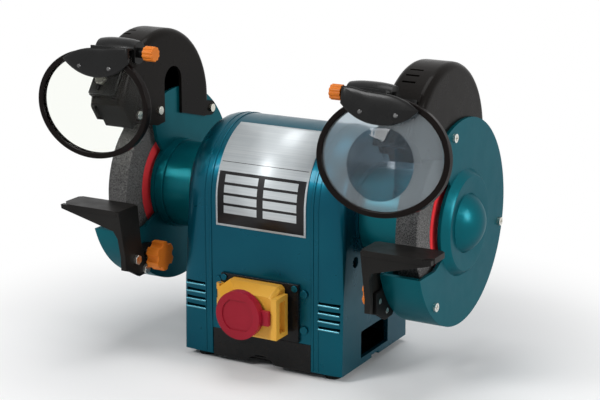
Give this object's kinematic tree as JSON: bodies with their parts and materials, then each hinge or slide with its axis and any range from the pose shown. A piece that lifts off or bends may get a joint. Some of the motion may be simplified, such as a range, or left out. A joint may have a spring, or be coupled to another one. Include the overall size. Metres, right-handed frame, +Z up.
{
  "type": "bench grinder",
  "caption": "Twin-wheel bench grinder with guarded wheels, slotted upper shrouds, tilting eye shields, tool rests, a lidded stop switch and a coolant tray.",
  "frame": {"origin": "centre of the base on the bench, at the underside of the rubber feet", "axes": "+X to the right along the spindle, -Y to the front where the user stands, +Z up"},
  "size_m": [0.405, 0.2235, 0.2912],
  "materials": {
    "teal_paint": "metallic gloss",
    "black_paint": "satin",
    "black_steel": "satin",
    "rubber": "matte",
    "lamination": "matte",
    "copper": "varnished",
    "steel": "machined",
    "aluminium_can": "satin",
    "plate_metal": "printed",
    "black_plastic": "satin",
    "zinc": "zinc plated",
    "abrasive": "rough",
    "red_card": "paper",
    "yellow_plastic": "satin",
    "red_plastic": "satin",
    "green_plastic": "satin",
    "cast_dark": "painted rough",
    "orange_plastic": "satin",
    "rim_plastic": "satin",
    "clear_window": "clear"
  },
  "bodies": {
    "housing": {"motor_shell": "teal_paint", "end_casting_left": "teal_paint", "end_casting_right": "teal_paint", "base_plate": "black_steel", "feet": "rubber", "stator_core": "lamination", "windings": "copper", "bearings": "steel", "capacitor": "aluminium_can", "data_plate": "plate_metal", "switch_plate": "black_plastic", "switch_body": "black_plastic", "panel_screws": "zinc", "cord_gland": "rubber", "guard_left": "teal_paint", "guard_right": "teal_paint", "cover_left": "teal_paint", "cover_right": "teal_paint", "cover_screws": "zinc", "shroud_left": "black_paint", "shroud_right": "black_paint", "shroud_screws": "zinc", "lid_pin": "steel"},
    "spindle_unit": {"spindle": "steel", "rotor_core": "lamination", "fan": "black_plastic", "wheel_left": "abrasive", "wheel_right": "abrasive", "blotters": "red_card", "wheel_flanges": "steel", "spindle_nuts": "zinc"},
    "tray": {"coolant_tray": "black_plastic"},
    "lid": {"switch_lid": "yellow_plastic"},
    "stop_flap": {"stop_disc": "red_plastic"},
    "start_push": {"start_button": "green_plastic"},
    "stop_push": {"stop_button": "red_plastic"},
    "rest_left": {"tool_rest_left": "cast_dark", "rest_arm_left": "black_steel", "rest_bolts_left": "zinc"},
    "rest_clamp_left": {"rest_knob_left": "orange_plastic"},
    "visor_slide_left": {"visor_arm_left": "black_plastic"},
    "visor_left": {"visor_rim_left": "rim_plastic", "visor_window_left": "clear_window", "visor_bracket_left": "black_plastic", "visor_rivets_left": "black_steel"},
    "tilt_clamp_left": {"tilt_knob_left": "orange_plastic"},
    "spark_left": {"deflector_left": "black_steel"},
    "rest_right": {"tool_rest_right": "cast_dark", "rest_arm_right": "black_steel", "rest_bolts_right": "zinc"},
    "rest_clamp_right": {"rest_knob_right": "orange_plastic"},
    "visor_slide_right": {"visor_arm_right": "black_plastic"},
    "visor_right": {"visor_rim_right": "rim_plastic", "visor_window_right": "clear_window", "visor_bracket_right": "black_plastic", "visor_rivets_right": "black_steel", "magnifier": "clear_window"},
    "tilt_clamp_right": {"tilt_knob_right": "orange_plastic"},
    "spark_right": {"deflector_right": "black_steel"}
  },
  "joints": [
    {"name": "spindle_spin", "type": "hinge", "parent": "housing", "child": "spindle_unit", "pos_m": [0, 0, 0.1415], "axis": [1, 0, 0], "continuous": true},
    {"name": "tray_slide", "type": "slide", "parent": "housing", "child": "tray", "axis": [0, -1, 0], "range_m": [0, 0.1]},
    {"name": "lid_hinge", "type": "hinge", "parent": "housing", "child": "lid", "pos_m": [-0.038, -0.0716, 0.0603], "axis": [0, 0, -1], "range_deg": [0, 110]},
    {"name": "stop_disc_press", "type": "slide", "parent": "lid", "child": "stop_flap", "axis": [0, 1, 0], "range_m": [0, 0.002], "stiffness_N_per_m": 600},
    {"name": "start_button_press", "type": "slide", "parent": "housing", "child": "start_push", "axis": [0, 1, 0], "range_m": [0, 0.002], "stiffness_N_per_m": 600},
    {"name": "stop_button_press", "type": "slide", "parent": "housing", "child": "stop_push", "axis": [0, 1, 0], "range_m": [0, 0.002], "stiffness_N_per_m": 600},
    {"name": "rest_slide_left", "type": "slide", "parent": "housing", "child": "rest_left", "axis": [0, -1, 0], "range_m": [-0.003, 0.008]},
    {"name": "rest_knob_turn_left", "type": "hinge", "parent": "housing", "child": "rest_clamp_left", "pos_m": [-0.12, -0.06, 0.088], "axis": [1, 0, 0], "range_deg": [0, 300]},
    {"name": "visor_slide_left", "type": "slide", "parent": "housing", "child": "visor_slide_left", "axis": [0, 0.5664, 0.8241], "range_m": [-0.014, 0.0075]},
    {"name": "visor_tilt_left", "type": "hinge", "parent": "visor_slide_left", "child": "visor_left", "pos_m": [-0.1237, -0.09259, 0.27947], "axis": [-1, 0, 0], "range_deg": [-1.5, 43]},
    {"name": "tilt_knob_turn_left", "type": "hinge", "parent": "visor_slide_left", "child": "tilt_clamp_left", "pos_m": [-0.1, -0.09259, 0.27947], "axis": [1, 0, 0], "range_deg": [0, 300]},
    {"name": "deflector_slide_left", "type": "slide", "parent": "housing", "child": "spark_left", "axis": [0, 0.5368, -0.8437], "range_m": [0, 0.014]},
    {"name": "rest_slide_right", "type": "slide", "parent": "housing", "child": "rest_right", "axis": [0, -1, 0], "range_m": [-0.003, 0.008]},
    {"name": "rest_knob_turn_right", "type": "hinge", "parent": "housing", "child": "rest_clamp_right", "pos_m": [0.12, -0.06, 0.088], "axis": [1, 0, 0], "range_deg": [0, 300]},
    {"name": "visor_slide_right", "type": "slide", "parent": "housing", "child": "visor_slide_right", "axis": [0, 0.5664, 0.8241], "range_m": [-0.004, 0.0175]},
    {"name": "visor_tilt_right", "type": "hinge", "parent": "visor_slide_right", "child": "visor_right", "pos_m": [0.1237, -0.09825, 0.26483], "axis": [-1, 0, 0], "range_deg": [-8, 34]},
    {"name": "tilt_knob_turn_right", "type": "hinge", "parent": "visor_slide_right", "child": "tilt_clamp_right", "pos_m": [0.1, -0.09825, 0.26483], "axis": [1, 0, 0], "range_deg": [0, 300]},
    {"name": "deflector_slide_right", "type": "slide", "parent": "housing", "child": "spark_right", "axis": [0, 0.5368, -0.8437], "range_m": [0, 0.014]}
  ]
}
